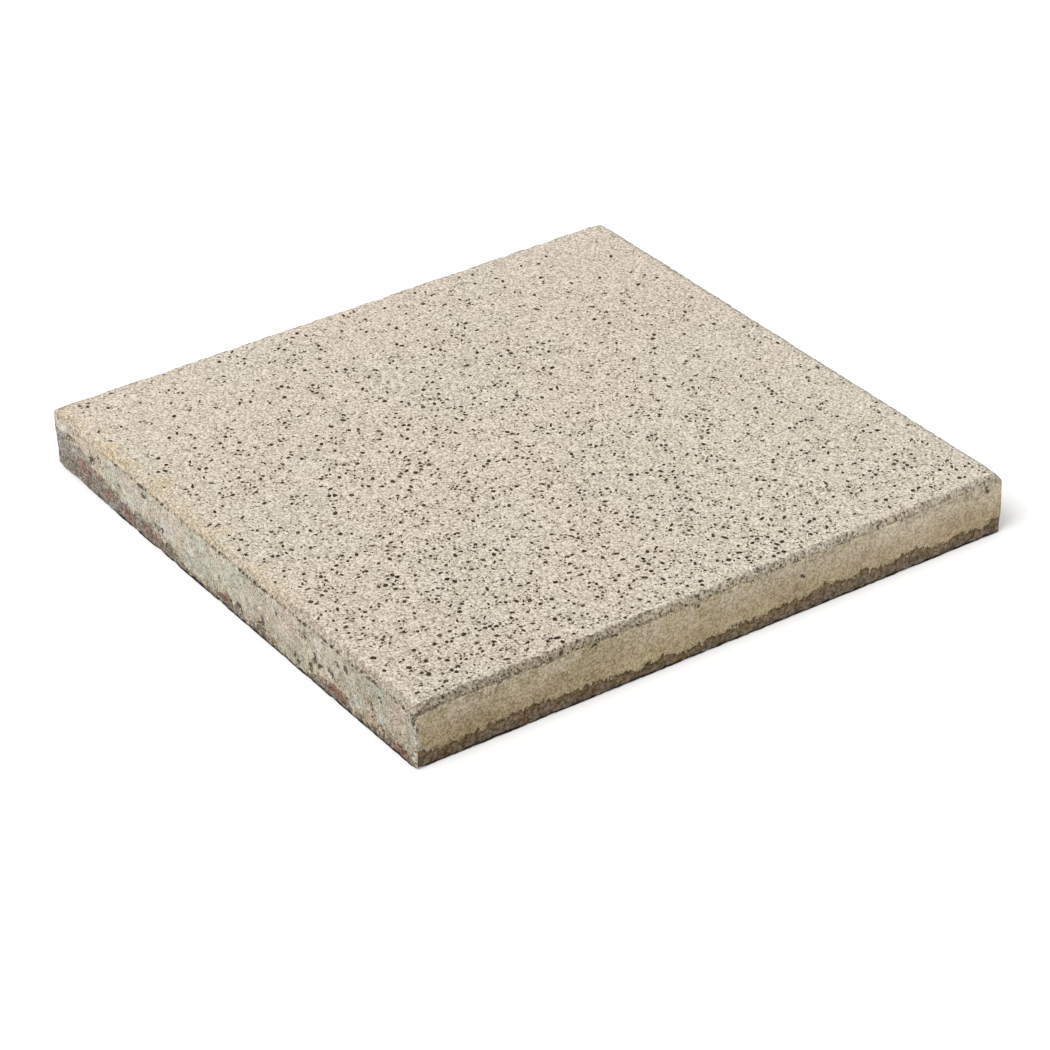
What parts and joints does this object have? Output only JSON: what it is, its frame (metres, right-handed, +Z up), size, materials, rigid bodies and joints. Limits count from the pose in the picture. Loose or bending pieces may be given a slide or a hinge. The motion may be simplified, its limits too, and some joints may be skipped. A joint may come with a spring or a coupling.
{
  "type": "concrete paving slab",
  "caption": "Square pressed concrete paving slab with a flat speckled walking face, bevelled upper edges, plain upright sides and a flat bed face.",
  "frame": {"origin": "middle of the bed face, the underside that lies on the ground", "axes": "+Z up through the thickness to the walking face, X and Y square to the sides"},
  "size_m": [0.4, 0.4, 0.04],
  "materials": {
    "concrete": "matt pressed concrete: a pale beige fine-grained face mix with small dark grit, on a darker brown-grey backing mix that shows along the foot of the sides"
  },
  "bodies": {
    "root": {"slab": "concrete"}
  },
  "joints": []
}
